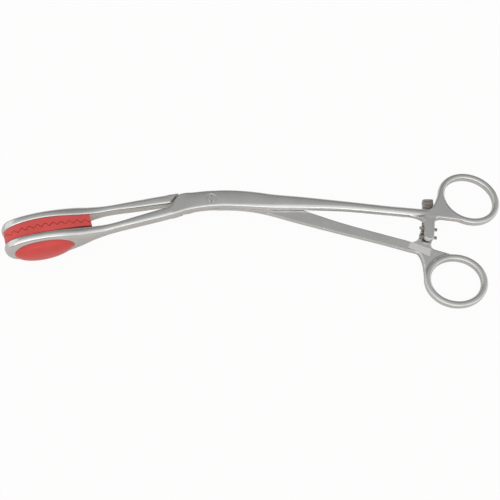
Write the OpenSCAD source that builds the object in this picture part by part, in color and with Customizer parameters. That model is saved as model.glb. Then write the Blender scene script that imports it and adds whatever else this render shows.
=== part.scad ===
// Angled uterine forceps with a screw lock, a ratchet, two finger rings and
// rubber inserts in oval jaw frames. Shown closed, lying in the XY plane.
// X runs from the lock to the finger rings, Z is the ring planes' normal,
// and the origin is on the pivot axis at the rear face of the lock.

/* [Reach] */
// Length along the axis from the middle of the bend to the jaw tips, mm
jaw_reach = 108; // [90:1:130]
// Length along the axis from the middle of the bend to the ring centres, mm
ring_reach = 122.8; // [118:1:160]
// Angle of the jaws against the X axis, degrees
jaw_angle = 15.9; // [5:0.1:30]
// Angle of the handles against the X axis, degrees
handle_angle = 8.9; // [2:0.1:14]

/* [Lock] */
// Thickness of the closed lock, both halves, mm
lock_thickness = 6.4; // [5.6:0.1:9]
// Width of each lock half, mm
lock_width = 8.8; // [8.6:0.1:12]
// Gap between the two sliding lock faces, mm
lap_gap = 0.1; // [0.06:0.02:0.2]
// Diameter of the screw head, mm
head_diameter = 4.4; // [4:0.1:5]
// Diameter of the screw shank, mm
screw_diameter = 3.2; // [2.6:0.1:3.6]
// Running clearance round the screw in the front half, on the radius, mm
screw_clearance = 0.05; // [0.02:0.01:0.1]
// Depth of the slot in the screw head, mm
slot_depth = 0.45; // [0.2:0.05:0.8]

/* [Jaws] */
// Height of each oval jaw frame, mm
jaw_height = 22.8; // [16:0.2:26]
// Thickness of a jaw frame at its middle line, mm
frame_thickness = 4.6; // [3.8:0.1:6]
// Length of the window in a jaw frame, mm
window_length = 28.5; // [22:0.5:31]
// Height of the window in a jaw frame, mm
window_height = 17; // [10:0.5:18]
// Length of the toothed pad, from the jaw tip, mm
pad_length = 42.5; // [38:0.5:48]
// Thickness of one toothed pad, mm
pad_thickness = 3.6; // [3:0.1:4.2]
// Pitch of the pad's teeth, mm
tooth_pitch = 3.7; // [3:0.1:4.5]
// Depth of the pad's teeth, mm
tooth_depth = 1.7; // [1:0.1:2.2]
// Height of the lower jaw's rubber dome above its frame, mm
lower_dome_height = 3.1; // [1:0.1:4]
// Height of the upper jaw's rubber dome above its frame, mm
upper_dome_height = 2; // [1:0.1:4]
// Gap between the two toothed pads when closed, mm
pad_gap = 0.3; // [0.3:0.05:0.8]

/* [Handles] */
// Thickness of one half-round handle, mm
handle_thickness = 3.6; // [3:0.1:4.5]
// Width of a handle at its slimmest, mm
handle_width = 4.5; // [3.6:0.1:5.2]
// Gap between the halves where they pass each other, mm
pass_gap = 0.3; // [0.2:0.05:0.6]

/* [Finger rings] */
// Inner length of a finger ring, mm
ring_length = 25.6; // [22:0.2:28]
// Inner width of a finger ring, mm
ring_width = 21.8; // [19:0.2:25]
// Width of the ring's bar, mm
ring_bar = 3.2; // [3:0.1:4.6]
// Thickness of the ring's bar, mm
ring_depth = 4.2; // [3:0.1:5]
// Distance of a ring's centre from the handle axis, mm
ring_offset = 23; // [22:0.1:27]

/* [Ratchet] */
// Radius of the ratchet from the pivot, mm
ratchet_radius = 110; // [107:0.5:111]
// Width of the ratchet arm, mm
ratchet_width = 5.6; // [4:0.1:6]
// Pitch of the ratchet teeth, mm
ratchet_pitch = 2.2; // [1.6:0.1:3]
// Depth of the ratchet teeth, mm
ratchet_depth = 0.8; // [0.4:0.1:1.2]

/* [Hidden] */

steel = [0.72, 0.72, 0.71];
rubber = [0.78, 0.22, 0.2];
half = lock_thickness / 2;

// The axis is a straight jaw line, an arc through the lock and a straight
// handle line. It is measured by its length s from the middle of the arc.
bend_radius = 100;
bend_middle = [5.2, 0.65];
mid_angle = (jaw_angle - handle_angle) / 2;
bend_half = bend_radius * (jaw_angle + handle_angle) / 2 * PI / 180;

// Places along the axis
tip = -jaw_reach;
widest = tip + 18.3;
pad_end = tip + pad_length;
neck_end = widest + 33.5;
shoulder = -21;

function clip(x, a, b) = min(max(x, a), b);
function heading(s) = mid_angle - clip(s, -bend_half, bend_half) / bend_radius * 180 / PI;
function on_arc(s) =
    bend_middle + bend_radius * [sin(mid_angle) - sin(heading(s)), cos(heading(s)) - cos(mid_angle)];
function on_axis(s) = on_arc(s) + (s - clip(s, -bend_half, bend_half)) * [cos(heading(s)), sin(heading(s))];

// The closing line of the jaws bows a little towards the lower jaw
jaw_bow = 0.5;
bow_middle = tip + 24;
function bow(s) = -jaw_bow * pow(cos(90 * clip(abs(s - bow_middle) / 26, 0, 1)), 2);
function place(s, off) = on_axis(s) + (off + bow(s)) * [-sin(heading(s)), cos(heading(s))];

// Smooth curve through points [x, y] with rising x
function slope(p, i) =
    let(a = max(i - 1, 0), b = min(i + 1, len(p) - 1)) (p[b][1] - p[a][1]) / (p[b][0] - p[a][0]);
function piece(p, x, i = 0) = (i >= len(p) - 2 || x < p[i + 1][0]) ? i : piece(p, x, i + 1);
function curve(p, x) =
    let(i = piece(p, x), h = p[i + 1][0] - p[i][0], t = clip((x - p[i][0]) / h, 0, 1))
    (2 * t * t * t - 3 * t * t + 1) * p[i][1] + (t * t * t - 2 * t * t + t) * h * slope(p, i)
    + (3 * t * t - 2 * t * t * t) * p[i + 1][1] + (t * t * t - t * t) * h * slope(p, i + 1);

// Round start of the frame at the jaw tip, 0 at the tip and 1 after a length d.
// A power of 2 is an ellipse, more is fuller.
function tip_round(s, d, power = 2) = pow(1 - pow(1 - clip((s - tip) / d, 0, 1), power), 1 / power);

// Distance of a jaw's inner and outer faces from the closing line
nose = pad_thickness + 0.8;
jaw_in = [[tip, pad_thickness - 0.7], [widest, pad_thickness], [pad_end, 3.3], [pad_end + 11, 3.2],
    [-42, 2.1], [-30, 1.1], [-25.6, 0.6]];
jaw_out = [[tip, pad_thickness + frame_thickness - 0.6], [widest, pad_thickness + frame_thickness],
    [widest + 17, pad_thickness + frame_thickness], [pad_end, 7.5], [pad_end + 11, 6.6], [-42, 6.2], [-30, 5.8],
    [-20, 5.2]];
function inner(s) = nose - (nose - curve(jaw_in, s)) * tip_round(s, 2.2);
function outer(s) = nose + (curve(jaw_out, s) - nose) * tip_round(s, 4.2);

// Half height of the jaw frame and shank
function frame_half(s) = s < widest
    ? jaw_height / 2 * tip_round(s, widest - tip, 2.3)
    : half + (jaw_height / 2 - half) * (1 + cos(180 * clip((s - widest) / (neck_end - widest), 0, 1))) / 2;
function swell(s) = 1.2 * (frame_half(s) - half) / (jaw_height / 2 - half);

// Middle line and half width of a handle
handle_mid = [[0, 0], [12, 0], [24, 0.7], [39, 2.85], [61, 5.6], [85, 7.75], [109, 10.1]];
handle_half = [[0, lock_width / 2], [14, lock_width / 2], [39, lock_width / 2 - 1],
    [60, handle_width / 2 + 0.3], [84, handle_width / 2], [101, handle_width / 2 + 0.1], [109, handle_width / 2 + 0.05]];

// Edges of a handle towards the other handle's side and away from it
function near_edge(s) = curve(handle_mid, s) - curve(handle_half, s);
function far_edge(s) = curve(handle_mid, s) + curve(handle_half, s);

// A section across the axis: low and high offset, low and high z, corner radii
// (low-low, high-low, high-high, low-high) and swell of the low offset face.
corner_steps = 3;
face_steps = 4;
function arc_pts(c, r, from) =
    [for (k = [0 : corner_steps]) c + r * [cos(from + 90 * k / corner_steps), sin(from + 90 * k / corner_steps)]];
function face_pts(off, z0, z1) = [for (k = [1 : face_steps - 1]) [off, z0 + (z1 - z0) * k / face_steps]];
function raw_section(b, t, z0, z1, r) = concat(
    arc_pts([b + r[0], z0 + r[0]], r[0], 180),
    arc_pts([t - r[1], z0 + r[1]], r[1], 270),
    face_pts(t, z0 + r[1], z1 - r[2]),
    arc_pts([t - r[2], z1 - r[2]], r[2], 0),
    arc_pts([b + r[3], z1 - r[3]], r[3], 90),
    face_pts(b, z1 - r[3], z0 + r[0]));
function section(b, t, z0, z1, r, sw = 0) = let(zm = (z0 + z1) / 2, hz = (z1 - z0) / 2)
    [for (p = raw_section(b, t, z0, z1, r))
        [p[0] + sw * pow((p[1] - zm) / hz, 2) * clip((t - p[0]) / (t - b), 0, 1), p[1]]];

// Solid through a list of [s, section]; side is 1 for the front half and -1
// for the rear half, which is the front half turned over about the axis.
function ring_pt(s, p, side) = let(q = place(s, side * p[0])) [q[0], q[1], side * p[1]];
module skin(points, n) {
    m = len(points) / n;
    first = [for (i = [0 : n - 1]) points[i]];
    last = [for (i = [0 : n - 1]) points[(m - 1) * n + i]];
    ends = [for (e = [first, last]) [for (k = [0 : 2]) sum([for (p = e) p[k]]) / n]];
    sides = [for (j = [0 : m - 2]) for (i = [0 : n - 1]) let(k = (i + 1) % n, a = j * n, b = a + n)
        each [[a + i, b + i, b + k], [a + i, b + k, a + k]]];
    caps = [for (i = [0 : n - 1]) let(k = (i + 1) % n, a = (m - 1) * n)
        each [[m * n, i, k], [m * n + 1, a + k, a + i]]];
    polyhedron(points = concat(points, ends), faces = concat(sides, caps), convexity = 6);
}
function sum(v, i = 0) = i < len(v) ? v[i] + sum(v, i + 1) : 0;
module loft(parts, side) {
    skin([for (st = parts) for (p = st[1]) ring_pt(st[0], p, side)], len(parts[0][1]));
}

// Jaw frame and shank
function jaw_section(s) =
    let(b = -outer(s), t = -inner(s), h = frame_half(s), r = min(1.1, (t - b) * 0.3, h * 0.4))
    section(b, t, -h, h, [r * 1.2, r, r, r * 1.2], swell(s));
jaw_stations = concat(
    [for (q = [0.08, 0.4, 1, 1.9, 3.1, 4.6, 6.6, 9, 12, 15]) tip + q],
    [for (k = [0 : 14]) widest + (-27 - widest) * k / 14]);

// The rear half is a little wider from the lock to the ratchet
rear_extra = 0.3;
function extra(s, side) = side > 0 ? 0 : rear_extra * clip((s + 24) / 12, 0, 1) * clip((108 - s) / 12, 0, 1);

// Lock half: the lap widens over the full lock behind its slanted end
lock_top = [[-25.6, -0.9], [-24.6, 0.5], [-22.4, 3], [-20.2, lock_width / 2 + 0.1], [-12, lock_width / 2]];
lock_low = [[-25.6, -5.6], [-16, -lock_width / 2 - 0.4], [0, -lock_width / 2]];
function lock_section(s, side) = let(r = s < -16 ? 0.5 : 0.9)
    section(curve(lock_low, s) - extra(s, side), s < -12 ? curve(lock_top, s) : lock_width / 2, -half, half,
        [0.9, r, r, 0.9]);

// Handle: half-round, flat on the side of the other half
function handle_section(s, side) =
    let(m = curve(handle_mid, s), w = curve(handle_half, s) + extra(s, side), u = clip((s - 6) / 20, 0, 1),
        z0 = lap_gap / 2 + (pass_gap - lap_gap) / 2 * u, r = 0.9 + 0.8 * u,
        z1 = half + (handle_thickness - half) * u - 1.2 * clip((s - 101) / 11, 0, 1))
    section(m - w, m + w, z0 - 2 * (1 - u), z1, [0.12, 0.12, r, r]);

function body_stations(side) = concat(
    [for (s = jaw_stations) [s, jaw_section(s)]],
    [for (s = [-25.6, -24.6, -22.4, -20.2, -16, -11, -6]) [s, lock_section(s, side)]],
    [for (s = [0, 6, 12, 18, 24, 30, 39, 50, 61, 73, 85, 97, 103, 108, 112]) [s, handle_section(s, side)]]);

// Everything behind the lap face, from the shoulder to the handle
module lap_cut(side) {
    outline = [[-20.7, -16], [-20.7, -5.1], [-25.2, -1.5], [-27.2, 0], [-27.2, 16], [0, 20], [34, 16], [34, -16],
        [0, -20]];
    z = side > 0 ? lap_gap / 2 - 9 : -lap_gap / 2;
    translate([0, 0, z])
        linear_extrude(9)
            polygon([for (p = outline) place(p[0], side * p[1])]);
}

// Oval of the window and of the rubber plug, in the plane of the jaw frame
module window_prism(side, grow, from, to) {
    centre = place(widest, 0);
    translate([centre[0], centre[1], 0])
        rotate([0, 0, jaw_angle])
            rotate([side * 90, 0, 0])
                translate([0, 0, from])
                    linear_extrude(to - from)
                        polygon([for (a = [0 : 9 : 351])
                            [(window_length / 2 + grow) * cos(a), (window_height / 2 + grow) * sin(a)]]);
}

// Finger ring: an oval bar with a rounded section
ring_stagger = 1.4;
ring_drop = 0.3;
ring_lift = 0.75;
ring_toe = 13;
function ring_at(side) = [ring_reach + side * ring_stagger, ring_offset - side * ring_drop];
ring_a = (ring_length + ring_bar) / 2;
ring_b = (ring_width + ring_bar) / 2;
function full(x) = sign(x) * pow(abs(x), 0.75);
module finger_ring(side) {
    c = place(ring_at(side)[0], side * ring_at(side)[1]);
    n = 48;
    m = 12;
    turn = -handle_angle - side * ring_toe;
    points = [for (i = [0 : n - 1]) for (j = [0 : m - 1])
        let(a = 360 * i / n, e = 360 * j / m, g = [cos(a) / ring_a, sin(a) / ring_b], u = g / norm(g),
            w = ring_bar / 2 * full(cos(e)), x = ring_a * cos(a) + u[0] * w, y = ring_b * sin(a) + u[1] * w)
        [c[0] + x * cos(turn) - y * sin(turn), c[1] + x * sin(turn) + y * cos(turn),
            side * ring_lift + ring_depth / 2 * full(sin(e))]];
    faces = [for (i = [0 : n - 1]) for (j = [0 : m - 1])
        let(p = (i + 1) % n, q = (j + 1) % m)
        each [[i * m + j, i * m + q, p * m + q], [i * m + j, p * m + q, p * m + j]]];
    polyhedron(points = points, faces = faces, convexity = 6);
}

// Web that carries a handle into its ring, with hollow fillets on both sides
function bezier(a, b, c, n) = [for (k = [0 : n]) let(t = k / n) (1 - t) * (1 - t) * a + 2 * t * (1 - t) * b + t * t * c];
module ring_web(side) {
    c = ring_at(side);
    top = far_edge(109);
    bottom = near_edge(109);
    left = [c[0] - ring_a, c[1] - 0.5];
    low = [c[0] - 1.5, c[1] - ring_b - 0.9];
    outline = concat(
        bezier([102.5, far_edge(102.5) - 0.4], [left[0] - 1.2, top + 0.3], left, 6),
        [[c[0] - ring_a * 0.72, c[1] - ring_b * 0.7]],
        bezier(low, [c[0] - 8, bottom + 0.8], [104, near_edge(104) + 0.4], 6));
    z0 = pass_gap / 2;
    z1 = ring_lift + ring_depth / 2 - 0.25;
    translate([0, 0, side > 0 ? z0 : -z1])
        linear_extrude(z1 - z0)
            polygon([for (p = outline) place(p[0], side * p[1])]);
}

// Ratchet bar: an arc round the pivot with sawn teeth on the lap side. It runs
// from the angle root to the angle end, and lean widens its radius on the way.
bar_z = 3.2;
function polar(r, a) = [r * cos(a), r * sin(a)];
module bar_plate(side, outline) {
    z0 = pass_gap / 2;
    translate([0, 0, side > 0 ? z0 : -bar_z])
        linear_extrude(bar_z - z0)
            polygon(outline);
}
module ratchet_bar(side, radius, width, root, end, teeth, lean, round_end) {
    w = width / 2;
    way = end > root ? 1 : -1;
    last = end - way * round_end;
    step = ratchet_pitch / ratchet_radius * 180 / PI;
    n = 6;
    difference() {
        bar_plate(side, concat(
            [for (k = [0 : n]) let(a = root + (last - root) * k / n) polar(radius - w + lean * (a + 5), a)],
            [for (t = [30 : 30 : 150]) let(a = last + way * round_end * sin(t))
                polar(radius - w * cos(t) + lean * (a + 5), a)],
            [for (k = [n : -1 : 0]) let(a = root + (last - root) * k / n) polar(radius + w + lean * (a + 5), a)]));
        for (k = [0 : teeth - 1])
            rotate([0, 0, end - way * (0.55 + k) * step])
                translate([radius - w - 2, 0, side * pass_gap / 2])
                    rotate([90, 0, 90])
                        linear_extrude(width + 4)
                            polygon([[0, side * ratchet_depth], [-side * 0.62 * ratchet_pitch, -side * 0.02],
                                [side * 0.14 * ratchet_pitch, -side * 0.02]]);
    }
}

// Hollow fillet from a handle's edge to a bar's side at the radius r, along the
// handle and up the bar. The bar lies towards inward.
handle_dir = [cos(handle_angle), -sin(handle_angle)];
axis_gap = on_arc(bend_half) * [sin(handle_angle), cos(handle_angle)];
function place_at(r, off) = bend_half + sqrt(r * r - pow(axis_gap + off, 2)) - on_arc(bend_half) * handle_dir;
module flare(side, r, inward, along, up) {
    e = near_edge(place_at(r, 0));
    s = place_at(r, side * e);
    corner = place(s, side * e);
    stop = atan2(corner[1], corner[0]) - side * up / r * 180 / PI;
    bar_plate(side, concat(
        bezier(place(s + along, side * (near_edge(s + along) + 0.3)), corner, polar(r, stop), 6),
        [polar(r + inward, stop), place(s + inward, side * (e + 1.6)),
            place(s + along, side * (near_edge(s + along) + 1.6))]));
}

module halves(side) {
    difference() {
        loft(body_stations(side), side);
        lap_cut(side);
        window_prism(side, 0, 0, 20);
    }
    finger_ring(side);
    ring_web(side);
}

tab_width = 5;
tab_end = -9.6;
arm_end = 3.2;
arm_lean = 0.12;
module front_half() {
    color(steel)
        difference() {
            union() {
                halves(1);
                ratchet_bar(1, ratchet_radius + 0.2, tab_width, -2.2, tab_end, 5, 0, 0.7);
                flare(1, ratchet_radius + 0.2 - tab_width / 2, 1.5, -12, 3.5);
                flare(1, ratchet_radius + 0.2 + tab_width / 2, -1.5, 4, 3.5);
            }
            translate([0, 0, -1])
                cylinder(r = screw_diameter / 2 + screw_clearance, h = 9, $fn = 64);
            translate([0, 0, half / 2])
                cylinder(r = head_diameter / 2 + screw_clearance, h = 9, $fn = 64);
        }
}

// Flat ground into the rear handle's face below the ratchet
ground_depth = 0.12;
module ground_patch() {
    translate([0, 0, -pass_gap / 2 - ground_depth])
        linear_extrude(2)
            polygon([[100.2, -18.2], [98.5, -21.6], [109.3, -26.1], [110.6, -22.2]]);
}

module rear_half() {
    color(steel)
        difference() {
            union() {
                halves(-1);
                ratchet_bar(-1, ratchet_radius + 0.2, ratchet_width, -11.8, arm_end, 11, arm_lean, 0.15);
                flare(-1, ratchet_radius - ratchet_width / 2 - 0.3, 1.5, -7, 9);
                flare(-1, ratchet_radius + ratchet_width / 2 - 0.3, -1.5, 1.5, 1.2);
            }
            translate([0, 0, -9])
                cylinder(r = screw_diameter / 2 - 0.03, h = 12, $fn = 64);
            ground_patch();
        }
}

module pivot_screw() {
    color(steel)
        difference() {
            union() {
                translate([0, 0, -half])
                    cylinder(r = screw_diameter / 2, h = 2 * half - 0.1, $fn = 64);
                translate([0, 0, half / 2 + screw_clearance])
                    cylinder(r = head_diameter / 2, h = half / 2 - screw_clearance, $fn = 64);
            }
            translate([-0.35, -head_diameter, half - slot_depth])
                cube([0.7, 2 * head_diameter, 4]);
        }
}

// Rubber insert: toothed pad, plug through the window and outer dome
tooth_phase = 0.85;
half_pitch = tooth_pitch / 2;
tooth_count = floor((pad_length - 1.6 + tooth_phase) / half_pitch);
pad_lift = pad_gap / cos(atan(tooth_depth / half_pitch)) / 2;
function zigzag(k, side) = side * (k % 2 == 0 ? 1 : -1) * tooth_depth / 2 - pad_lift;
function pad_base(s, side) = inner(s) - (side > 0 ? 0.7 : 0) * clip((s - widest - 6) / (pad_end - widest - 12), 0, 1);
function pad_section(s, side, top) = let(h = frame_half(max(s, tip + 0.9)) - 0.5, r = 0.45)
    [s, section(-pad_base(s, side), top, -h, h, [0.1, r, r, 0.1])];
module pad(side) {
    u = tooth_phase / half_pitch;
    loft(concat(
        [pad_section(tip + 1, side, -pad_lift)],
        [for (k = [tooth_count : -1 : 1]) pad_section(pad_end + tooth_phase - k * half_pitch, side, zigzag(k, side))],
        [pad_section(pad_end, side, (1 - u) * zigzag(0, side) + u * zigzag(1, side))]), side);
}

module dome(side) {
    base = pad_thickness - 1;
    rim = pad_thickness + frame_thickness - 1.1;
    rise = (side > 0 ? lower_dome_height : upper_dome_height) + 1.1;
    levels = concat([[base, 1], [rim, 1]],
        [for (a = [15 : 15 : 75]) [rim + rise * sin(a), pow(cos(a), 0.8)]], [[rim + rise * 0.995, 0.12]]);
    n = 40;
    centre = place(widest, 0);
    points = [for (l = levels) for (i = [0 : n - 1])
        let(a = 360 * i / n, u = window_length / 2 * l[1] * cos(a), z = window_height / 2 * l[1] * sin(a),
            q = centre + u * [cos(jaw_angle), sin(jaw_angle)] + side * l[0] * [sin(jaw_angle), -cos(jaw_angle)])
        [q[0], q[1], side * z]];
    skin(points, n);
}

module lower_insert() {
    color(rubber) {
        pad(1);
        dome(1);
    }
}

module upper_insert() {
    color(rubber) {
        pad(-1);
        dome(-1);
    }
}

translate([0, 0, half]) {
    front_half();
    rear_half();
    pivot_screw();
    lower_insert();
    upper_insert();
}
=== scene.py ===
from math import atan, atan2, cos, degrees, hypot, pi, radians, sin, sqrt

import bmesh
import bpy
import numpy as np
from mathutils import Matrix, Vector


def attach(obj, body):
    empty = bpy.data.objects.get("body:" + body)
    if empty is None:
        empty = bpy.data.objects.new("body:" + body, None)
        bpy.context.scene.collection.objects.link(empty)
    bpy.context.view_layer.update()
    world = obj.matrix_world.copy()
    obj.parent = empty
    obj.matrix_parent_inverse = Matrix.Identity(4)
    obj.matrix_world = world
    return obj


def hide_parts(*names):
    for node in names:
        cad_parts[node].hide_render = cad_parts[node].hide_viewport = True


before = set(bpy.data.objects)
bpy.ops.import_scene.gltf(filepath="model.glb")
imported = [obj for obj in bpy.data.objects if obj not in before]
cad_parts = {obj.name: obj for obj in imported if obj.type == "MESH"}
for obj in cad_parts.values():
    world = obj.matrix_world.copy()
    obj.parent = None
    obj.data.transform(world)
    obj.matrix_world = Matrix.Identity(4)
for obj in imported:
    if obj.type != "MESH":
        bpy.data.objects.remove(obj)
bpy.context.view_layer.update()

MM = 0.001

# Driving dimensions in millimetres, as in the part's source
jaw_reach = 108
ring_reach = 122.8
jaw_angle = 15.9
handle_angle = 8.9
lock_thickness = 6.4
lock_width = 8.8
lap_gap = 0.1
head_diameter = 4.4
screw_diameter = 3.2
screw_clearance = 0.05
slot_depth = 0.45
jaw_height = 22.8
frame_thickness = 4.6
window_length = 28.5
window_height = 17
pad_length = 42.5
pad_thickness = 3.6
tooth_pitch = 3.7
tooth_depth = 1.7
lower_dome_height = 3.1
upper_dome_height = 2
pad_gap = 0.3
handle_thickness = 3.6
handle_width = 4.5
pass_gap = 0.3
ring_length = 25.6
ring_width = 21.8
ring_bar = 3.2
ring_depth = 4.2
ring_offset = 23
ratchet_radius = 110
ratchet_width = 5.6
ratchet_pitch = 2.2
ratchet_depth = 0.8

half = lock_thickness / 2
bend_radius = 100
bend_middle = np.array([5.2, 0.65])
mid_angle = (jaw_angle - handle_angle) / 2
bend_half = bend_radius * radians((jaw_angle + handle_angle) / 2)
tip = -jaw_reach
nose_length = 18.3
widest = tip + nose_length
pad_end = tip + pad_length
neck_end = widest + 33.5
jaw_bow = 0.5
bow_middle = tip + 24
bow_reach = 26
rear_extra = 0.3
ring_stagger = 1.4
ring_drop = 0.3
ring_toe = 13

# The rings stand further out of the lap plane here than in the solids, and nearer to the axis
ring_lift = 1.5
ring_shift = 0.4
ring_fullness = 0.62
ring_a = (ring_length + ring_bar) / 2
ring_b = (ring_width + ring_bar) / 2
web_top = ring_lift + ring_depth / 2 - 0.05

# The ratchet bars: the tab of the front half runs level into its handle
bar_radius = ratchet_radius + 0.2
tab_width = 5
tab_top = 3.45
tab_teeth = 5
arm_top = 3.2
arm_teeth = 11


# The axis through jaws, lock and handles, measured by its length s

def clip(x, a, b):
    return min(max(x, a), b)


def heading(s):
    return mid_angle - degrees(clip(s, -bend_half, bend_half) / bend_radius)


def on_axis(s):
    h, m = radians(heading(s)), radians(mid_angle)
    arc = bend_middle + bend_radius * np.array([sin(m) - sin(h), cos(h) - cos(m)])
    return arc + (s - clip(s, -bend_half, bend_half)) * np.array([cos(h), sin(h)])


def bow(s):
    return -jaw_bow * cos(pi / 2 * clip(abs(s - bow_middle) / bow_reach, 0, 1))**2


def place(s, off):
    h = radians(heading(s))
    return on_axis(s) + (off + bow(s)) * np.array([-sin(h), cos(h)])


def slope(p, i):
    a, b = max(i - 1, 0), min(i + 1, len(p) - 1)
    return (p[b][1] - p[a][1]) / (p[b][0] - p[a][0])


def curve(p, x):
    """Smooth curve through points (x, y) with rising x."""
    i = 0
    while i < len(p) - 2 and x >= p[i + 1][0]:
        i += 1
    h = p[i + 1][0] - p[i][0]
    t = clip((x - p[i][0]) / h, 0, 1)
    return ((2 * t**3 - 3 * t**2 + 1) * p[i][1] + (t**3 - 2 * t**2 + t) * h * slope(p, i)
            + (3 * t**2 - 2 * t**3) * p[i + 1][1] + (t**3 - t**2) * h * slope(p, i + 1))


def tip_round(s, d, power=2):
    return (1 - (1 - clip((s - tip) / d, 0, 1))**power)**(1 / power)


nose = pad_thickness + 0.8
jaw_in = [(tip, pad_thickness - 0.7), (widest, pad_thickness), (pad_end, 3.3), (pad_end + 11, 3.2),
          (-42, 2.1), (-30, 1.1), (-25.6, 0.6)]
jaw_out = [(tip, pad_thickness + frame_thickness - 0.6), (widest, pad_thickness + frame_thickness),
           (widest + 17, pad_thickness + frame_thickness), (pad_end, 7.5), (pad_end + 11, 6.6), (-42, 6.2),
           (-30, 5.8), (-20, 5.2)]
handle_mid = [(0, 0), (12, 0), (24, 0.7), (39, 2.85), (61, 5.6), (85, 7.75), (109, 10.1)]
handle_half = [(0, lock_width / 2), (14, lock_width / 2), (39, lock_width / 2 - 1),
               (60, handle_width / 2 + 0.3), (84, handle_width / 2), (101, handle_width / 2 + 0.1),
               (109, handle_width / 2 + 0.05)]
lock_top = [(-25.6, -0.9), (-24.6, 0.5), (-22.4, 3), (-20.2, lock_width / 2 + 0.1), (-12, lock_width / 2)]
lock_low = [(-25.6, -5.6), (-16, -lock_width / 2 - 0.4), (0, -lock_width / 2)]


def near_edge(s):
    return curve(handle_mid, s) - curve(handle_half, s)


def far_edge(s):
    return curve(handle_mid, s) + curve(handle_half, s)


def inner(s):
    return nose - (nose - curve(jaw_in, s)) * tip_round(s, 2.2)


def outer(s):
    return nose + (curve(jaw_out, s) - nose) * tip_round(s, 4.2)


def frame_half(s):
    if s < widest:
        return jaw_height / 2 * tip_round(s, widest - tip, 2.3)
    turn = pi * clip((s - widest) / (neck_end - widest), 0, 1)
    return half + (jaw_height / 2 - half) * (1 + cos(turn)) / 2


def swell(s):
    return 1.2 * (frame_half(s) - half) / (jaw_height / 2 - half)


# Sections across the axis and solids through them. The counts are steps along a corner, a face and a circle.

CORNER = 8
FACE = 10
ROUND = 96


def section(b, t, z0, z1, r, sw=0, crown=(0, 0)):
    """Closed outline of (offset, z): corner radii low-low, high-low, high-high, low-high.

    The crown is the fall of the z0 and z1 faces from their middle to their edges.
    """
    pts = []

    def corner(c, rad, start):
        for k in range(CORNER + 1):
            a = radians(start + 90 * k / CORNER)
            pts.append((c[0] + rad * cos(a), c[1] + rad * sin(a)))

    def face(off, za, zb):
        for k in range(1, FACE):
            pts.append((off, za + (zb - za) * k / FACE))

    def flat(z, a, c):
        for k in range(1, FACE):
            pts.append((a + (c - a) * k / FACE, z))

    corner((b + r[0], z0 + r[0]), r[0], 180)
    flat(z0, b + r[0], t - r[1])
    corner((t - r[1], z0 + r[1]), r[1], 270)
    face(t, z0 + r[1], z1 - r[2])
    corner((t - r[2], z1 - r[2]), r[2], 0)
    flat(z1, t - r[2], b + r[3])
    corner((b + r[3], z1 - r[3]), r[3], 90)
    face(b, z1 - r[3], z0 + r[0])
    out = np.array(pts)
    zm, hz = (z0 + z1) / 2, (z1 - z0) / 2
    lean = np.clip((t - out[:, 0]) / (t - b), 0, 1)
    fall = ((2 * out[:, 0] - b - t) / (t - b))**2 * np.clip((out[:, 1] - zm) / hz, -1, 1)
    out[:, 0] += sw * ((out[:, 1] - zm) / hz)**2 * lean
    out[:, 1] -= np.where(fall < 0, crown[0], crown[1]) * fall
    return out


def jaw_section(s, side):
    b, t, h = -outer(s), -inner(s), frame_half(s)
    r = min(0.9, (t - b) * 0.25, h * 0.4)
    wide = min(2.3 if side > 0 else 1.3, (t - b) * 0.5, h * 0.45)
    return section(b, t, -h, h, [wide, r, r, wide], swell(s), (0.25, 0.25))


def extra(s, side):
    """How much further out the rear half's edges lie, from the lock to the ring's web."""
    return 0 if side > 0 else rear_extra * clip((s + 24) / 12, 0, 1) * clip((108 - s) / 12, 0, 1)


def lock_section(s, side):
    top = curve(lock_top, s) if s < -12 else lock_width / 2
    r = 0.5 if s < -16 else 0.9
    crown = 0.3 * clip((s + 20) / 6, 0, 1)
    return section(curve(lock_low, s) - extra(s, side), top, -half, half, [1.1, r, r, 1.1], 0, (crown, crown))


def handle_section(s, side):
    """The handle's end gets slimmer inside the ring's web and sinks just below the web's top."""
    slimming = 0.8 * clip((s - 107) / 5, 0, 1)
    sinking = (handle_thickness - web_top + 0.15) * clip((s - 96) / 14, 0, 1)
    m = curve(handle_mid, s)
    w = curve(handle_half, s) + extra(s, side) - slimming
    u = clip((s - 6) / 20, 0, 1)
    z0 = lap_gap / 2 + (pass_gap - lap_gap) / 2 * u
    z1 = half + (handle_thickness - half) * u - sinking
    r, wide = 0.9 + 0.6 * u, 1.1 + u
    return section(m - w, m + w, z0 - 2 * (1 - u), z1, [0.12, 0.12, r, min(wide, w * 0.95)], 0, (0, 0.3))


def between(a, b, step):
    """Evenly spaced places from a to b, both included, about a step apart."""
    n = max(1, round(abs(b - a) / step))
    return [a + (b - a) * k / n for k in range(n + 1)]


def body_stations(side):
    turns = [4, 8, 12, 16, 20, 25, 30, 36, 42, 48, 54, 60, 66, 72, 78, 84]
    near_tip = [tip + nose_length * (1 - cos(radians(a))) for a in turns]
    return ([(s, jaw_section(s, side)) for s in near_tip + between(widest, -27, 1)]
            + [(s, lock_section(s, side)) for s in between(-25.6, -6, 0.5)]
            + [(s, handle_section(s, side)) for s in between(0, 112, 1)])


def new_object(name, data):
    ob = bpy.data.objects.new(name, data)
    bpy.context.scene.collection.objects.link(ob)
    return ob


def mesh_of(name, verts, faces):
    me = bpy.data.meshes.new(name)
    me.from_pydata([tuple(c * MM for c in v) for v in verts], [], faces)
    bm = bmesh.new()
    bm.from_mesh(me)
    bmesh.ops.recalc_face_normals(bm, faces=bm.faces)
    bm.to_mesh(me)
    bm.free()
    return new_object(name, me)


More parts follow.
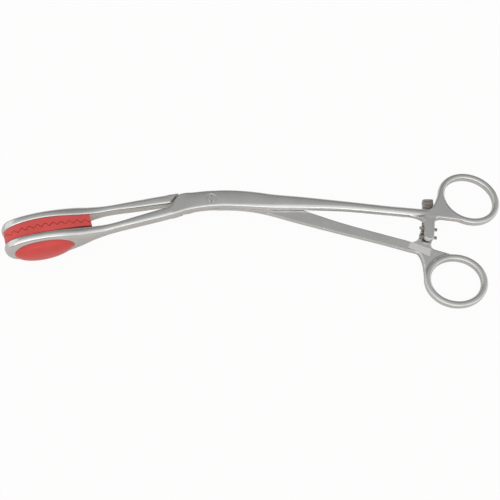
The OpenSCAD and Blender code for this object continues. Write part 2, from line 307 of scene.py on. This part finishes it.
def skin(name, rings):
    """Closed solid through rings of points with the same count."""
    n, m = len(rings[0]), len(rings)
    verts = [tuple(p) for ring in rings for p in ring]
    faces = [(j * n + i, j * n + (i + 1) % n, (j + 1) * n + (i + 1) % n, (j + 1) * n + i)
             for j in range(m - 1) for i in range(n)]
    faces += [tuple(range(n)), tuple((m - 1) * n + i for i in range(n))]
    return mesh_of(name, verts, faces)


def loft(name, parts, side):
    """Solid through (s, section) pairs. Side 1 is the front half, and -1 is the rear half, turned over."""
    rings = []
    for s, sec in parts:
        ring = []
        for off, z in sec:
            q = place(s, side * off)
            ring.append((q[0], q[1], side * z + half))
        rings.append(ring)
    return skin(name, rings)


def plate(name, outline, z0, z1):
    """Prism over an outline of (x, y)."""
    return skin(name, [[(x, y, z) for x, y in outline] for z in (z0, z1)])


# Parts of a half

def ring_at(side):
    return (ring_reach + side * ring_stagger, ring_offset - ring_shift - side * ring_drop)


def full(x):
    """A sine or cosine made fuller, which squares the ring's bar a little."""
    return abs(x)**ring_fullness * (1 if x > 0 else -1)


def finger_ring(side):
    c = place(ring_at(side)[0], side * ring_at(side)[1])
    turn = radians(-handle_angle - side * ring_toe)
    n, m = 144, 32
    verts = []
    for i in range(n):
        a = 2 * pi * i / n
        gx, gy = cos(a) / ring_a, sin(a) / ring_b
        ux, uy = gx / hypot(gx, gy), gy / hypot(gx, gy)
        for j in range(m):
            e = 2 * pi * j / m
            w = ring_bar / 2 * full(cos(e))
            x, y = ring_a * cos(a) + ux * w, ring_b * sin(a) + uy * w
            verts.append((c[0] + x * cos(turn) - y * sin(turn), c[1] + x * sin(turn) + y * cos(turn),
                          half + side * ring_lift + ring_depth / 2 * full(sin(e))))
    faces = [(i * m + j, i * m + (j + 1) % m, (i + 1) % n * m + (j + 1) % m, (i + 1) % n * m + j)
             for i in range(n) for j in range(m)]
    return mesh_of("ring", verts, faces)


def bezier(a, b, c, n):
    a, b, c = np.array(a), np.array(b), np.array(c)
    return [tuple((1 - t)**2 * a + 2 * t * (1 - t) * b + t * t * c) for t in [k / n for k in range(n + 1)]]


def ring_web(side):
    cx, cy = ring_at(side)
    left = (cx - ring_a - ring_bar / 2 + 0.35, cy + 1)
    low = (cx - 1.5, cy - ring_b - 0.9)
    start = left[0] - 5
    outline = (bezier((start, far_edge(start) - 0.4), (left[0] - 1.6, far_edge(109) + 0.3), left, 20)
               + [(cx - ring_a * 0.72, cy - ring_b * 0.7)]
               + bezier(low, (cx - 8, near_edge(109) + 0.8), (104, near_edge(104) + 0.4), 20))
    z0, z1 = pass_gap / 2, web_top
    pts = [place(p[0], side * p[1]) for p in outline]
    return plate("web", pts, half + (z0 if side > 0 else -z1), half + (z1 if side > 0 else -z0))


def apply_modifiers(ob):
    dg = bpy.context.evaluated_depsgraph_get()
    me = bpy.data.meshes.new_from_object(ob.evaluated_get(dg))
    ob.modifiers.clear()
    ob.data = me


def drop(*obs):
    for o in obs:
        bpy.data.objects.remove(o, do_unlink=True)


def joined(name, obs):
    bm = bmesh.new()
    for o in obs:
        bm.from_mesh(o.data)
    me = bpy.data.meshes.new(name)
    bm.to_mesh(me)
    bm.free()
    drop(*obs)
    return new_object(name, me)


def smooth(ob, rounds, group=""):
    m = ob.modifiers.new("soft", "SMOOTH")
    m.factor = 0.5
    m.iterations = rounds
    m.vertex_group = group
    apply_modifiers(ob)


def remesh(ob, voxel):
    """One skin over all the shells, softened where they meet and most of all round the rings."""
    m = ob.modifiers.new("skin", "REMESH")
    m.mode = "VOXEL"
    m.voxel_size = voxel * MM
    apply_modifiers(ob)
    rounds = round(0.12 / voxel**2)
    smooth(ob, 4 * rounds)
    group = ob.vertex_groups.new(name="round")
    for v in ob.data.vertices:
        x, y = v.co.x / MM, v.co.y / MM
        d = hypot(x, y) - ratchet_radius
        near_bar = clip(1.5 - abs(d) / ratchet_width * 1.6, 0, 1) * clip((10 - abs(y + 7)) / 3, 0, 1)
        weight = clip((x - 98) / 8, 0, 1) * (1 - 0.9 * near_bar)
        if weight > 0:
            group.add([v.index], weight, "REPLACE")
    smooth(ob, 14 * rounds, "round")


def cut(ob, tool, operation="DIFFERENCE"):
    m = ob.modifiers.new("cut", "BOOLEAN")
    m.object = tool
    m.operation = operation
    m.solver = "EXACT"
    apply_modifiers(ob)
    drop(tool)


def lap_cutter(side):
    """What is cut from a half for the other one: its shoulder is slanted, its far edges run well outside."""
    outline = [(-20.7, -16), (-20.7, -5.1), (-25.2, -1.5), (-27.2, 0), (-27.2, 16), (0, 20), (34, 16),
               (34, -16), (0, -20)]
    pts = [place(s, side * off) for s, off in outline]
    near, far = lap_gap / 2, lap_gap / 2 - 9
    return plate("lap", pts, half + (far if side > 0 else -near), half + (near if side > 0 else -far))


def jaw_point(u, lift, z, side):
    """A point of the jaw: u along it from its widest place, lift out from the closing line."""
    a = radians(jaw_angle)
    q = place(widest, 0) + u * np.array([cos(a), sin(a)]) + side * lift * np.array([sin(a), -cos(a)])
    return (q[0], q[1], side * z + half)


def oval(share, lift, side, n=ROUND):
    return [jaw_point(window_length / 2 * share * cos(2 * pi * i / n), lift,
                      window_height / 2 * share * sin(2 * pi * i / n), side) for i in range(n)]


def window_cutter(side):
    return skin("window", [oval(1, 0, side), oval(1, 20, side)])


def cone(name, r0, r1, z0, z1):
    """Round piece on the pivot axis, its heights measured from the lap plane."""
    turns = [2 * pi * i / ROUND for i in range(ROUND)]
    return skin(name, [[(r * cos(a), r * sin(a), half + z) for a in turns] for r, z in ((r0, z0), (r1, z1))])


def cylinder(name, r, z0, z1):
    return cone(name, r, r, z0, z1)


def polar(r, a):
    return (r * cos(radians(a)), r * sin(radians(a)))


def bar_top(side):
    return tab_top if side > 0 else arm_top


def bar_plate(side, outline, tops=None):
    """Prism from the lap side outwards, its outer face at bar_top or at a height for each point."""
    tops = tops or [bar_top(side)] * len(outline)
    lap = [(x, y, half + side * pass_gap / 2) for x, y in outline]
    return skin("bar", [lap, [(x, y, half + side * z) for (x, y), z in zip(outline, tops)]])


def ratchet_bar(side, radius, width, root, end, lean, round_end):
    """Arc round the pivot from the angle root to the angle end, its radius growing by the lean a degree."""
    w = width / 2
    way = 1 if end > root else -1
    last = end - way * round_end

    def edge(shift):
        return [polar(radius + shift + lean * (a + 5), a) for a in between(root, last, 0.5)]

    def rounding(t):
        a = last + way * round_end * sin(t)
        return polar(radius - w * cos(t) + lean * (a + 5), a)

    return bar_plate(side, edge(-w) + [rounding(t) for t in between(0.1, pi - 0.1, 0.2)] + edge(w)[::-1])


def saw(ob, side, radius, width, root, end, teeth):
    """Cuts the sawn teeth into the lap side of a ratchet bar, from its end back."""
    way = 1 if end > root else -1
    step = degrees(ratchet_pitch / ratchet_radius)
    for k in range(teeth):
        turn = radians(end - way * (0.55 + k) * step)
        tooth = [(0, side * ratchet_depth), (-side * 0.62 * ratchet_pitch, -side * 0.02),
                 (side * 0.14 * ratchet_pitch, -side * 0.02)]
        rings = []
        for r in (radius - width / 2 - 2, radius + width / 2 + 2):
            rings.append([(r * cos(turn) - y * sin(turn), r * sin(turn) + y * cos(turn),
                           half + side * pass_gap / 2 + z) for y, z in tooth])
        cut(ob, skin("tooth", rings))


handle_dir = np.array([cos(radians(handle_angle)), -sin(radians(handle_angle))])
handle_start = place(bend_half, 0)
axis_gap = handle_start @ np.array([sin(radians(handle_angle)), cos(radians(handle_angle))])


def place_at(r, off):
    return bend_half + sqrt(r * r - (axis_gap + off)**2) - handle_start @ handle_dir


def flare(side, r, inward, along, up):
    """Hollow fillet from a handle's edge to a bar's side at the radius r, thin where it starts."""
    steps, thin = 20, 1.2
    e = near_edge(place_at(r, 0))
    s = place_at(r, side * e)
    corner = place(s, side * e)
    stop = degrees(atan2(corner[1], corner[0])) - side * degrees(up / r)
    outline = bezier(place(s + along, side * (near_edge(s + along) + 0.3)), corner, polar(r, stop), steps)
    outline += [polar(r + inward, stop), tuple(place(s + inward, side * (e + 1.6))),
                tuple(place(s + along, side * (near_edge(s + along) + 1.6)))]
    top = bar_top(side)
    tops = [thin + (top - thin) * clip(2 * k / steps, 0, 1) for k in range(steps + 1)] + [top, top, thin]
    return bar_plate(side, outline, tops)


def shade(ob, angle):
    """Smooth faces with sharp edges where they meet at more than the angle."""
    bm = bmesh.new()
    bm.from_mesh(ob.data)
    for f in bm.faces:
        f.smooth = True
    for e in bm.edges:
        e.smooth = e.calc_face_angle(0) < radians(angle)
    bm.to_mesh(ob.data)
    bm.free()


def steel_half(name, side, extras):
    body = joined(name, [loft("body", body_stations(side), side), finger_ring(side), ring_web(side)] + extras)
    remesh(body, 0.3)
    cut(body, lap_cutter(side))
    cut(body, window_cutter(side))
    return body


# Materials. The map "flow" holds the length along the axis, and the distance across it plus the height,
# so that the steel's fine lines run lengthwise on the faces and on the walls.

def set_flow(ob):
    me = ob.data
    co = np.empty(len(me.vertices) * 3)
    me.vertices.foreach_get("co", co)
    co = co.reshape(-1, 3) / MM
    m = radians(mid_angle)
    centre = bend_middle + bend_radius * np.array([sin(m), -cos(m)])
    d = co[:, :2] - centre
    h = np.clip(np.arctan2(-d[:, 0], d[:, 1]), -radians(handle_angle), radians(jaw_angle))
    normal = np.stack([-np.sin(h), np.cos(h)], 1)
    along = np.stack([np.cos(h), np.sin(h)], 1)
    s = (m - h) * bend_radius + (d * along).sum(1)
    off = (d * normal).sum(1) - bend_radius + co[:, 2]
    loops = np.empty(len(me.loops), dtype=np.int64)
    me.loops.foreach_get("vertex_index", loops)
    flow = me.uv_layers.new(name="flow")
    flow.data.foreach_set("uv", np.stack([s[loops], off[loops]], 1).ravel())


def material(name, build):
    m = bpy.data.materials.new(name)
    m.use_nodes = True
    t = m.node_tree
    t.nodes.clear()
    out = t.nodes.new("ShaderNodeOutputMaterial")
    bsdf = t.nodes.new("ShaderNodeBsdfPrincipled")
    t.links.new(bsdf.outputs[0], out.inputs[0])
    build(t, bsdf)
    return m


def noise(t, vector, scale_xyz, detail=3.0, rough=0.5):
    """Noise over a stretched vector, 0 to 1."""
    mp = t.nodes.new("ShaderNodeMapping")
    mp.inputs["Scale"].default_value = scale_xyz
    t.links.new(vector, mp.inputs["Vector"])
    n = t.nodes.new("ShaderNodeTexNoise")
    n.inputs["Scale"].default_value = 1
    n.inputs["Detail"].default_value = detail
    n.inputs["Roughness"].default_value = rough
    t.links.new(mp.outputs[0], n.inputs["Vector"])
    return n.outputs[0]


def spread(t, value, lo, hi):
    """Noise around its middle, mapped to the range lo to hi."""
    r = t.nodes.new("ShaderNodeMapRange")
    r.inputs["From Min"].default_value = 0.3
    r.inputs["From Max"].default_value = 0.7
    r.inputs["To Min"].default_value = lo
    r.inputs["To Max"].default_value = hi
    t.links.new(value, r.inputs["Value"])
    return r.outputs[0]


def ramp(t, value, low, high):
    r = t.nodes.new("ShaderNodeValToRGB")
    r.color_ramp.elements[0].position = 0.3
    r.color_ramp.elements[0].color = (*low, 1)
    r.color_ramp.elements[1].position = 0.7
    r.color_ramp.elements[1].color = (*high, 1)
    t.links.new(value, r.inputs[0])
    return r.outputs[0]


def bump(t, bsdf, value, strength, distance):
    b = t.nodes.new("ShaderNodeBump")
    b.inputs["Strength"].default_value = strength
    b.inputs["Distance"].default_value = distance
    t.links.new(value, b.inputs["Height"])
    t.links.new(b.outputs[0], bsdf.inputs["Normal"])


def flow_of(t):
    uv = t.nodes.new("ShaderNodeUVMap")
    uv.uv_map = "flow"
    return uv.outputs[0]


def object_of(t):
    return t.nodes.new("ShaderNodeTexCoord").outputs["Object"]


def steel_look(t, bsdf):
    lines = noise(t, flow_of(t), (0.06, 7, 1), 4)
    cloud = noise(t, object_of(t), (90, 90, 90), 3)
    t.links.new(ramp(t, cloud, (0.66, 0.655, 0.645), (0.72, 0.715, 0.71)), bsdf.inputs["Base Color"])
    t.links.new(spread(t, lines, 0.17, 0.22), bsdf.inputs["Roughness"])
    bsdf.inputs["Metallic"].default_value = 1
    bump(t, bsdf, lines, 0.05, 0.00001)


# Sawn steel: rough lengthwise lines, and a colour far darker than the steel, which is painted shade for the
# teeth and the screw's pits.
def sawn_painted_shade_look(t, bsdf):
    lines = noise(t, flow_of(t), (4, 1.5, 1), 4)
    t.links.new(ramp(t, lines, (0.2, 0.17, 0.155), (0.46, 0.42, 0.4)), bsdf.inputs["Base Color"])
    t.links.new(spread(t, lines, 0.35, 0.5), bsdf.inputs["Roughness"])
    bsdf.inputs["Metallic"].default_value = 1
    bump(t, bsdf, lines, 0.3, 0.00004)


def ground_look(t, bsdf):
    lines = noise(t, flow_of(t), (3.5, 0.9, 1), 5, 0.6)
    t.links.new(ramp(t, lines, (0.56, 0.54, 0.53), (0.74, 0.72, 0.71)), bsdf.inputs["Base Color"])
    t.links.new(spread(t, lines, 0.4, 0.6), bsdf.inputs["Roughness"])
    bsdf.inputs["Metallic"].default_value = 0.4
    bump(t, bsdf, lines, 0.5, 0.00006)


def rubber_look(t, bsdf):
    grain = noise(t, object_of(t), (1800, 1800, 1800), 4)
    cloud = noise(t, object_of(t), (120, 120, 120), 3)
    t.links.new(ramp(t, cloud, (0.6, 0.046, 0.04), (0.67, 0.058, 0.05)), bsdf.inputs["Base Color"])
    t.links.new(spread(t, grain, 0.4, 0.52), bsdf.inputs["Roughness"])
    bsdf.inputs["Sheen Weight"].default_value = 0.45
    bsdf.inputs["Sheen Roughness"].default_value = 0.4
    bump(t, bsdf, grain, 0.2, 0.00005)


steel = material("satin_steel", steel_look)
ground_steel = material("ground_steel", ground_look)
sawn_steel_painted_shade = material("sawn_steel_painted_shade", sawn_painted_shade_look)
rubber = material("red_rubber", rubber_look)


def finish_piece(ob, mat, node, body, angle=32):
    shade(ob, angle)
    set_flow(ob)
    ob.data.materials.clear()
    ob.data.materials.append(mat)
    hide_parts(node)
    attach(ob, body)


def paint(ob, mat, chosen):
    """Gives a second or third material to the faces that chosen(middle in millimetres, normal) picks."""
    ob.data.materials.append(mat)
    for face in ob.data.polygons:
        if chosen(face.center / MM, face.normal):
            face.material_index = len(ob.data.materials) - 1


# How far the middle of a face may lie from the plane that it was cut on
EASE = 0.02


def painted_shade_sawn_faces(side):
    """Picks the lap side of a ratchet bar, with its teeth, which take the darker steel: painted shade between
    the halves.
    """
    def chosen(c, normal):
        depth = side * (c.z - half) - pass_gap / 2
        across = abs(hypot(c.x, c.y) - bar_radius)
        on_bar = across < ratchet_width / 2 + 0.1 and -18.5 < c.y < 6
        return on_bar and -EASE < depth < ratchet_depth + EASE
    return chosen


# A bar is given by its radius, its width and the angles of its root and its end
tab = (bar_radius, tab_width, -2.2, -9.6)
front = steel_half("front_half_steel", 1, [ratchet_bar(1, *tab, 0, 0.7),
                                           flare(1, tab[0] - tab_width / 2, 1.5, -12, 3.5),
                                           flare(1, tab[0] + tab_width / 2, -1.5, 4, 3.5)])
saw(front, 1, *tab, tab_teeth)
cut(front, cylinder("bore", screw_diameter / 2 + screw_clearance, -1, 8))
cut(front, cylinder("seat", head_diameter / 2 + screw_clearance, half / 2, 9))
seat_edge = head_diameter / 2 + screw_clearance + 0.25
cut(front, cone("seat_edge", seat_edge - 0.3, seat_edge + 2, half - 0.3, half + 2))
finish_piece(front, steel, "front_half", "front")
# The lap side of the tab and its teeth get the darker steel: painted shade.
paint(front, sawn_steel_painted_shade, painted_shade_sawn_faces(1))

arm = (bar_radius, ratchet_width, -11.8, 3.2)
arm_in = ratchet_radius - ratchet_width / 2 - 0.3
arm_out = ratchet_radius + ratchet_width / 2 - 0.3
rear = steel_half("rear_half_steel", -1, [ratchet_bar(-1, *arm, 0.12, 0.15), flare(-1, arm_in, 1.5, -7, 9),
                                          flare(-1, arm_out, -1.5, 1.5, 1.2)])
saw(rear, -1, *arm, arm_teeth)
cut(rear, cylinder("hole", screw_diameter / 2 - 0.03, -9, 3))
ground_depth = 0.12
ground = [(100.2, -18.2), (98.5, -21.6), (109.3, -26.1), (110.6, -22.2)]
cut(rear, plate("ground", ground, half - pass_gap / 2 - ground_depth, half + 2))
finish_piece(rear, steel, "rear_half", "rear")
# The lap side of the arm and its teeth get the darker steel: painted shade.
paint(rear, sawn_steel_painted_shade, painted_shade_sawn_faces(-1))


def ground_faces(c, normal):
    depth = half - pass_gap / 2 - c.z
    return EASE < depth < ground_depth + EASE and normal.z > 0.9 and 98 < c.x < 111.5


paint(rear, ground_steel, ground_faces)

# The screw. Its slot is deeper at both ends, where the photograph shows two dark dots.
head_chamfer = 0.2
head_top = head_diameter / 2 - head_chamfer
slot_half = 0.35
slot_floor = lock_thickness - slot_depth
above = lock_thickness + 4
pit_depth = 0.2


def box(name, x, y0, y1, z0, z1):
    return plate(name, [(-x, y0), (x, y0), (x, y1), (-x, y1)], z0, z1)


screw = cylinder("pivot_screw_steel", screw_diameter / 2, -half, half - 0.1)
cut(screw, cylinder("head", head_diameter / 2, half / 2 + screw_clearance, half - head_chamfer), "UNION")
cut(screw, cone("head_edge", head_diameter / 2, head_top, half - head_chamfer, half), "UNION")
cut(screw, box("slot", slot_half, -head_diameter, head_diameter, slot_floor, above))
for middle in (-1.9, 1.9):
    cut(screw, box("pit", slot_half + 0.05, middle - 0.45, middle + 0.45, slot_floor - pit_depth, above))
finish_piece(screw, steel, "pivot_screw", "rear")


# The floors of the two pits take the darker steel: painted shade in the pits.
def painted_shade_pit_faces(c, normal):
    return abs(c.y) > 1.3 and c.z < slot_floor - EASE and normal.z > 0.5


paint(screw, sawn_steel_painted_shade, painted_shade_pit_faces)


# Rubber inserts

tooth_phase = 0.85
half_pitch = tooth_pitch / 2
tooth_count = int((pad_length - 1.6 + tooth_phase) / half_pitch)

# The pads nearly touch, where the rigid solids keep pad_gap between them
shown_gap = pad_gap / 2
pad_lift = shown_gap / cos(atan(tooth_depth / half_pitch)) / 2


def pad(side):
    """The toothed pad. The lower one gets thinner to its rear end, where the photograph shows a shadow."""
    def zigzag(k):
        return side * (1 if k % 2 == 0 else -1) * tooth_depth / 2 - pad_lift

    def part(s, top):
        h = frame_half(max(s, tip + 0.9)) - 0.5
        base = inner(s) - (0.7 if side > 0 else 0) * clip((s - widest - 6) / (pad_end - widest - 12), 0, 1)
        return (s, section(-base, top, -h, h, [0.1, 0.45, 0.45, 0.1]))

    ends = [(tip + 1, -pad_lift)]
    ends += [(pad_end + tooth_phase - k * half_pitch, zigzag(k)) for k in range(tooth_count, 0, -1)]
    u = tooth_phase / half_pitch
    ends.append((pad_end, (1 - u) * zigzag(0) + u * zigzag(1)))
    parts = []
    for (s0, t0), (s1, t1) in zip(ends, ends[1:]):
        for k in range(4):
            parts.append(part(s0 + (s1 - s0) * k / 4, t0 + (t1 - t0) * k / 4))
    parts.append(part(*ends[-1]))
    return loft("pad", parts, side)


# The upper dome is lower than in the solids, so that it stays hidden behind its jaw as in the photograph
shown_dome_height = upper_dome_height - 0.4
rim_depth = 1.1


def dome(side):
    """The plug through the window with the dome on it, which starts at the rim's depth inside the window."""
    base = pad_thickness - 1
    rim = pad_thickness + frame_thickness - rim_depth
    rise = (lower_dome_height if side > 0 else shown_dome_height) + rim_depth
    levels = [(base, 1), (rim, 1)]
    for a in range(3, 88, 3):
        levels.append((rim + rise * sin(radians(a)), cos(radians(a))**0.8))
    levels.append((rim + rise * 0.999, 0.01))
    return skin("dome", [oval(w, lift, side, 128) for lift, w in levels])


for name, side, body in (("lower_insert", 1, "front"), ("upper_insert", -1, "rear")):
    piece = pad(side)
    cut(piece, dome(side), "UNION")
    piece.name = name + "_rubber"
    finish_piece(piece, rubber, name, body, 30)


# Camera, matched to the photograph. Pixels are of a 500-pixel frame.

SENSOR_MM = 36
FRAME_PX = 500
FOCAL_PX = 900
PRINCIPAL = (250, 245)
VANISH = (165, 650)
PIVOT_PX = (211.3, 200.9)
PX_PER_MM = 2

away = Vector(((VANISH[0] - PRINCIPAL[0]) / FOCAL_PX, -(VANISH[1] - PRINCIPAL[1]) / FOCAL_PX, -1))
cz = -away.normalized()
cx = (Vector((1, 0, 0)) - cz.x * cz).normalized()
cy = cz.cross(cx)
rows = Matrix((cx, cy, cz))
shift = Vector(((PIVOT_PX[0] - PRINCIPAL[0]) / FOCAL_PX, -(PIVOT_PX[1] - PRINCIPAL[1]) / FOCAL_PX, -1))
offset = shift * FOCAL_PX / PX_PER_MM
cam_data = bpy.data.cameras.new("camera")
cam = new_object("camera", cam_data)
cam_data.sensor_width = SENSOR_MM
cam_data.sensor_fit = "HORIZONTAL"
cam_data.lens = FOCAL_PX / FRAME_PX * SENSOR_MM
cam_data.shift_x = (FRAME_PX / 2 - PRINCIPAL[0]) / FRAME_PX
cam_data.shift_y = (PRINCIPAL[1] - FRAME_PX / 2) / FRAME_PX
eye = -(rows @ offset) + Vector((0, 0, half))
cam.matrix_world = Matrix.Translation(eye * MM) @ rows.to_4x4()
cam_data.clip_start = 0.01
cam_data.clip_end = 10
bpy.context.scene.camera = cam

# Stage: a floor that looks white to the camera, a white world, and a grey ceiling, back wall and front strip
# that only reflections see

bpy.context.scene.view_settings.view_transform = "Standard"
world = bpy.data.worlds.new("world")
bpy.context.scene.world = world
world.use_nodes = True
t = world.node_tree
t.nodes.clear()


def maths(t, operation, a, b):
    """A value from 0 to 1 out of a socket and a socket or number."""
    n = t.nodes.new("ShaderNodeMath")
    n.operation = operation
    n.use_clamp = True
    t.links.new(a, n.inputs[0])
    if isinstance(b, float):
        n.inputs[1].default_value = b
    else:
        t.links.new(b, n.inputs[1])
    return n.outputs[0]


def mixed(t, share, low, high, out):
    mix = t.nodes.new("ShaderNodeMixShader")
    for source, target in zip((share, low, high), mix.inputs):
        t.links.new(source, target)
    t.links.new(mix.outputs[0], out.inputs[0])


def background(t, strength):
    bg = t.nodes.new("ShaderNodeBackground")
    bg.inputs[0].default_value = (1, 1, 1, 1)
    bg.inputs[1].default_value = strength
    return bg.outputs[0]


path = t.nodes.new("ShaderNodeLightPath")
seen = maths(t, "ADD", path.outputs["Is Camera Ray"], path.outputs["Is Glossy Ray"])
seen = maths(t, "ADD", seen, path.outputs["Is Transmission Ray"])
mixed(t, seen, background(t, 0.92), background(t, 1.0), t.nodes.new("ShaderNodeOutputWorld"))


def aim(ob, middle, towards, axis):
    """Sets an object at the middle, its axis towards a point, both in millimetres."""
    middle, towards = Vector(middle) * MM, Vector(towards) * MM
    turn = (towards - middle).to_track_quat(axis, "Y").to_matrix().to_4x4()
    ob.matrix_world = Matrix.Translation(middle) @ turn


def card(name, middle, towards, width, depth):
    """A flat stage piece that faces a point, sizes in millimetres."""
    w, d = width / 2 * MM, depth / 2 * MM
    me = bpy.data.meshes.new(name)
    me.from_pydata([(-w, -d, 0), (w, -d, 0), (w, d, 0), (-w, d, 0)], [], [(0, 1, 2, 3)])
    ob = new_object(name, me)
    aim(ob, middle, towards, "Z")
    return ob


def floor_look(t, bsdf):
    bsdf.inputs["Base Color"].default_value = (0.7, 0.665, 0.63, 1)
    bsdf.inputs["Roughness"].default_value = 0.8
    glow = t.nodes.new("ShaderNodeEmission")
    glow.inputs[1].default_value = 1
    path = t.nodes.new("ShaderNodeLightPath")
    share = maths(t, "MULTIPLY", path.outputs["Is Camera Ray"], 0.95)
    for ray in ("Is Glossy Ray", "Is Transmission Ray"):
        share = maths(t, "MAXIMUM", share, maths(t, "MULTIPLY", path.outputs[ray], 0.1))
    mixed(t, share, bsdf.outputs[0], glow.outputs[0], t.nodes["Material Output"])


def glow_look(low_end, high_end):
    """Light that changes from one edge of the card, at its local -Y, to the other."""
    def build(t, bsdf):
        xyz = t.nodes.new("ShaderNodeSeparateXYZ")
        t.links.new(t.nodes.new("ShaderNodeTexCoord").outputs["Generated"], xyz.inputs[0])
        r = t.nodes.new("ShaderNodeMapRange")
        r.inputs["To Min"].default_value = low_end
        r.inputs["To Max"].default_value = high_end
        t.links.new(xyz.outputs["Y"], r.inputs["Value"])
        bsdf.inputs["Base Color"].default_value = (0.05, 0.05, 0.05, 1)
        bsdf.inputs["Emission Color"].default_value = (0.985, 1, 0.99, 1)
        t.links.new(r.outputs[0], bsdf.inputs["Emission Strength"])
    return build


# The floor slants from the jaws' lowest point to the rear half's ring, and no part of a half lies below it
steel_points = [v.co for o in (front, rear) for v in o.data.vertices]
low, low_x = min((p.z, p.x) for p in steel_points if p.x < -50 * MM)
slant = min((v.co.z - low) / (v.co.x - low_x) for v in rear.data.vertices if v.co.x > 100 * MM)
floor_z = min(p.z - slant * p.x for p in steel_points) / MM
floor = card("floor", (0, 0, floor_z - 0.03), (-slant * 1000, 0, 1000), 3000, 3000)
floor.data.materials.append(material("floor", floor_look))
for name, middle, towards, width, depth, strength in (
        ("ceiling", (0, 330, 900), (0, 330, 0), 2600, 1140, (0.68, 0.25)),
        ("back_wall", (0, 900, 480), (0, 0, 480), 2600, 840, (0.3, 0.2)),
        ("front_strip", (0, -900, 50), (0, 0, 50), 2600, 200, (0.2, 0.2))):
    piece = card(name, middle, towards, width, depth)
    piece.data.materials.append(material(name, glow_look(*strength)))
    piece.visible_camera = False
    piece.visible_diffuse = False


def lamp(name, middle, towards, width, depth, radiance):
    data = bpy.data.lights.new(name, "AREA")
    data.shape = "RECTANGLE"
    data.size, data.size_y = width * MM, depth * MM
    data.energy = radiance * pi * width * depth * MM * MM
    ob = new_object(name, data)
    aim(ob, middle, towards, "-Z")
    ob.visible_camera = False


lamp("front_softbox", (-60, -620, 260), (0, 0, 0), 900, 240, 0.75)
